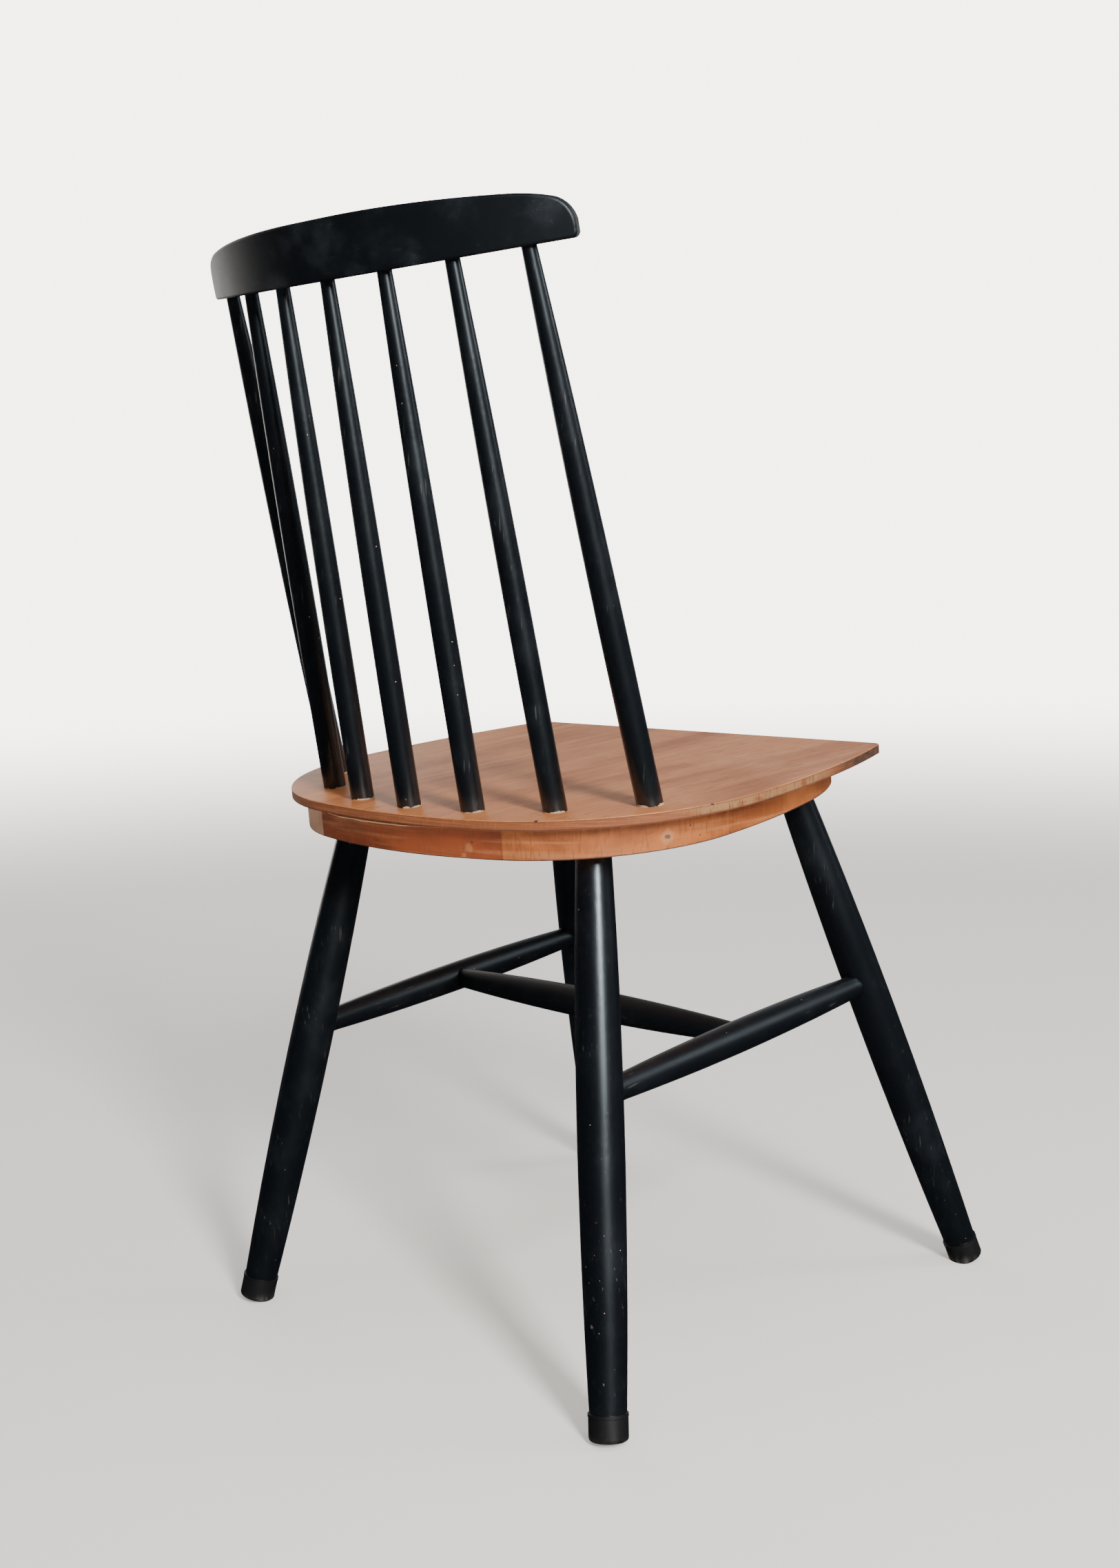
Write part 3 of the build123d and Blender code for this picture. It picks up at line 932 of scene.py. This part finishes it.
@dataclass
class TornPly:
    """The bottom ply's torn edge, which hangs a little below the board's rear edge.

    Its section is spun along the board's rear arc. Each ring of the strip is then narrowed and
    lowered by its own amount, so that the strip tapers to both ends and its edge is uneven.
    """

    finish: RawWood = RawWood("torn_ply_wood", light=(0.50, 0.32, 0.18), deep=(0.32, 0.17, 0.085))
    board_depth: float = 356 * MM
    rear_radius: float = 480 * MM
    width: float = 3.4 * MM
    thickness: float = 0.5 * MM
    overhang: float = 0.3 * MM
    start: float = math.radians(10.2)
    end: float = math.radians(-8.6)
    steps: int = 40
    droop: float = 1.25 * MM
    rise: float = 0.22
    fall: float = 0.45
    fall_power: float = 0.8
    waviness: float = 0.10
    wave_rates: Span = (37.0, 11.0)
    least_size: float = 0.06

    def __post_init__(self) -> None:
        """Works out the arc's centre on the board's underside, the strip's radii and its pitch."""
        arc = SEAT_FRONT + SEAT_BACK * (self.board_depth - self.rear_radius)
        self.under: Vector = arc - SEAT_UP * BOARD_THICKNESS
        outer = self.rear_radius + self.overhang
        self.inner: float = outer - self.width
        self.middle: float = outer - self.width / 2
        self.sweep: float = self.start - self.end
        self.pitch: float = self.sweep / self.steps

    def out(self, angle: float) -> Vector:
        """Way out from the arc's centre, at an angle from the board's middle."""
        return Vector((math.sin(angle), 0.0, 0.0)) + SEAT_BACK * math.cos(angle)

    def ring(self, place: Vector) -> int:
        """Number of the ring that a vertex is on, from the left end."""
        arm = place - self.under
        return round((self.start - math.atan2(arm.x, arm.dot(SEAT_BACK))) / self.pitch)

    def fullness(self, along: float) -> float:
        """How wide and low the strip is.

        Args:
            along: Part of the way from the left end to the right end.

        Returns:
            The part of its full width and droop, from 0 to about 1.
        """
        full = min(1.0, along / self.rise) * min(1.0, (1.0 - along) / self.fall) ** self.fall_power
        fast, slow = self.wave_rates
        return full * (1.0 - self.waviness * math.sin(fast * along) * math.sin(slow * along + 1.0))

    def section(self) -> bpy.types.Object:
        """Adds the strip's section at its left end.

        Returns:
            The piece, so far a small rectangle.
        """
        radial = self.out(self.start)
        at = self.under + radial * self.middle - SEAT_UP * self.thickness / 2
        axes = Matrix((radial, SEAT_UP, radial.cross(SEAT_UP))).transposed()
        deselect()
        bpy.ops.mesh.primitive_plane_add(size=1, location=at, rotation=axes.to_euler())
        piece = bpy.context.object
        piece.name = "torn_ply"
        piece.scale = (self.width, self.thickness, 1.0)
        bpy.ops.object.transform_apply(location=True, rotation=True, scale=True)
        return piece

    def tear(self, piece: bpy.types.Object, number: int) -> None:
        """Narrows one ring of the strip and lowers its outer side.

        Args:
            piece: The strip in edit mode.
            number: The ring's number.
        """
        full = self.fullness(number / self.steps)
        size = self.least_size + (1.0 - self.least_size) * full
        hold = self.under + self.out(self.start - number * self.pitch) * self.inner
        pick(piece, lambda place: self.ring(place) == number)
        bpy.ops.transform.resize(value=(size, size, size), center_override=hold)
        edge = self.inner + (self.middle - self.inner) * size
        pick(piece, lambda place: self.ring(place) == number and (place - self.under).length > edge)
        bpy.ops.transform.translate(value=SEAT_UP * -self.droop * full)

    def build(self) -> None:
        """Models the torn edge."""
        piece = self.section()
        bpy.ops.object.mode_set(mode="EDIT")
        bpy.ops.mesh.select_mode(type="VERT")
        bpy.ops.mesh.select_all(action="SELECT")
        bpy.ops.mesh.spin(steps=self.steps, angle=-self.sweep, center=self.under, axis=SEAT_UP)
        bpy.ops.mesh.select_all(action="SELECT")
        bpy.ops.mesh.remove_doubles(threshold=MERGE_DISTANCE)
        bpy.ops.mesh.normals_make_consistent(inside=False)
        for number in range(self.steps + 1):
            self.tear(piece, number)
        bpy.ops.object.mode_set(mode="OBJECT")
        bpy.ops.object.shade_smooth_by_angle(angle=SHARP_ANGLE)
        dress(piece, self.finish.make())
        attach(piece, "root")
        log.info("modelled %s", piece.name)


@dataclass
class Seat:
    """The veneered seat board and the torn ply under its rear edge."""

    nodes: dict[str, bpy.types.Object]
    veneer: Veneer = Veneer()
    torn: TornPly = field(default_factory=TornPly)

    def dress(self) -> None:
        """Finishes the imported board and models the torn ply."""
        dress_node(self.nodes["seat_board"], self.veneer.make())
        self.torn.build()


@dataclass(frozen=True)
class Lamp:
    """A soft rectangular light, with its place, size in metres, power in watts and tint."""

    name: str
    at: Triple
    width: float
    height: float
    power: float
    tint: Colour

    def hang(self, target: Vector) -> None:
        """Hangs the light so that it faces a point.

        Args:
            target: The point.
        """
        bpy.ops.object.light_add(type="AREA", location=self.at)
        light = bpy.context.object
        light.name = self.name
        light.data.shape = "RECTANGLE"
        light.data.size = self.width
        light.data.size_y = self.height
        light.data.energy = self.power
        light.data.color = self.tint
        light.rotation_euler = (Vector(self.at) - target).to_track_quat("Z", "Y").to_euler()
        light.visible_camera = False


@dataclass
class Studio:
    """Floor, world, lights and camera."""

    centre: Vector = field(default_factory=lambda: Vector((0.0, 0.0, 0.42)))
    floor_colour: Colour = (0.80, 0.77, 0.72)
    floor_glow: Colour = (0.30, 0.29, 0.27)
    floor_dullness: float = 0.9
    floor_radius: float = 6.0
    floor_sides: int = 96
    fade: Span = (0.3, 0.97)
    far_size: float = 160.0
    far_drop: float = 2 * MM
    room: Colour = (0.085, 0.09, 0.10)
    room_gloss: Colour = (0.018, 0.022, 0.028)
    backdrop: Colour = (5.6, 5.4, 5.1)
    sky_strength: float = 1.2
    sky_spread: float = math.radians(75)
    sky_at: Triple = (0.0, 0.0, 4.0)
    sky_turn: Triple = (math.radians(-12), math.radians(-14), 0.0)
    lamps: tuple[Lamp, ...] = (
        Lamp("key", (-2.60, 1.25, 1.80), 0.5, 1.0, 165.0, (1.0, 0.985, 0.96)),
        Lamp("left_card", (5.2, -1.8, 1.6), 4.2, 3.2, 130.0, (1.0, 0.95, 0.90)),
        Lamp("far_wall", (2.0, -4.4, 1.5), 3.6, 2.6, 24.0, (0.95, 0.98, 1.0)),
        Lamp("window", (-3.8, -3.8, 3.2), 1.6, 2.8, 85.0, (0.93, 0.97, 1.0)),
    )
    camera_at: Triple = (-0.983714, 1.072113, 0.599362)
    heading: float = 2.38858098
    pitch: float = -0.128101515
    roll: float = -0.0235
    focal_length: float = 42.8
    sensor_height: float = 36.0
    view_range: float = 200.0

    def floor(self) -> None:
        """Lays a pale floor that turns into the backdrop's colour away from the chair."""
        deselect()
        bpy.ops.mesh.primitive_circle_add(
            vertices=self.floor_sides, radius=self.floor_radius, fill_type="NGON"
        )
        near = bpy.context.object
        near.name = "floor"
        near.visible_glossy = False
        bench = Bench.material("studio_floor")
        start, end = (share * self.floor_radius for share in self.fade)
        away = bench.from_point((0.0, 0.0, 0.0)).step(start, end)
        sockets = {
            "Base Color": bench.mix(away, self.floor_colour, BLACK),
            "Emission Color": bench.mix(away, self.floor_glow, self.backdrop),
            "Emission Strength": 1.0,
            "Roughness": self.floor_dullness,
            "Specular IOR Level": 0.0,
        }
        dress(near, bench.finish(sockets))

    def far_floor(self) -> None:
        """Lays the backdrop's colour under and beyond the floor, where only the camera sees it."""
        deselect()
        bpy.ops.mesh.primitive_plane_add(size=self.far_size, location=(0, 0, -self.far_drop))
        far = bpy.context.object
        far.name = "far_floor"
        far.visible_glossy = far.visible_diffuse = far.visible_shadow = False
        sockets = {
            "Base Color": BLACK,
            "Emission Color": self.backdrop,
            "Emission Strength": 1.0,
            "Specular IOR Level": 0.0,
        }
        dress(far, Bench.material("far_floor").finish(sockets))

    def world(self) -> None:
        """Makes a dim room that lights the chair softly and shows pale behind it."""
        bench = Bench(bpy.data.worlds.new("studio_world"), "Background")
        path = bench.node("LightPath")
        glossy, seen = (Wire(bench, path.outputs[f"Is {ray} Ray"]) for ray in ("Glossy", "Camera"))
        colour = bench.mix(glossy, self.room, self.room_gloss)
        colour = bench.mix(seen, colour, self.backdrop)
        bpy.context.scene.world = bench.finish({"Color": colour})

    def sky(self) -> None:
        """Adds broad, even light from above, which keeps the floor pale to its far edge."""
        bpy.ops.object.light_add(type="SUN", location=self.sky_at)
        light = bpy.context.object
        light.name = "sky"
        light.data.energy = self.sky_strength
        light.data.angle = self.sky_spread
        light.visible_glossy = False
        light.rotation_euler = self.sky_turn

    def camera(self) -> None:
        """Sets up the camera."""
        turn, tip, roll = self.heading, self.pitch, self.roll
        level = math.cos(tip)
        ahead = Vector((level * math.sin(turn), level * math.cos(turn), math.sin(tip)))
        across = ahead.cross(Vector((0, 0, 1))).normalized()
        upright = across.cross(ahead)
        right = across * math.cos(roll) + upright * math.sin(roll)
        top = upright * math.cos(roll) - across * math.sin(roll)
        bpy.ops.object.camera_add()
        camera = bpy.context.object
        camera.name = "camera"
        camera.data.sensor_fit = "VERTICAL"
        camera.data.sensor_height = self.sensor_height
        camera.data.lens = self.focal_length
        camera.data.clip_end = self.view_range
        axes = Matrix((right, top, -ahead)).transposed().to_4x4()
        camera.matrix_world = Matrix.Translation(self.camera_at) @ axes
        bpy.context.scene.camera = camera

    def build(self) -> None:
        """Builds the studio."""
        self.floor()
        self.far_floor()
        self.world()
        for lamp in self.lamps:
            lamp.hang(self.centre)
        self.sky()
        self.camera()


def main() -> None:
    """Builds the chair's looks and the studio."""
    logging.basicConfig(level=logging.INFO, format="%(name)s: %(message)s")
    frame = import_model()
    nodes = frame["nodes"]
    for part in (Underframe(nodes), Back(nodes), SeatFrame(nodes), Seat(nodes)):
        part.dress()
        log.info("finished %s", type(part).__name__)
    Studio().build()


if __name__ == "__main__":
    main()
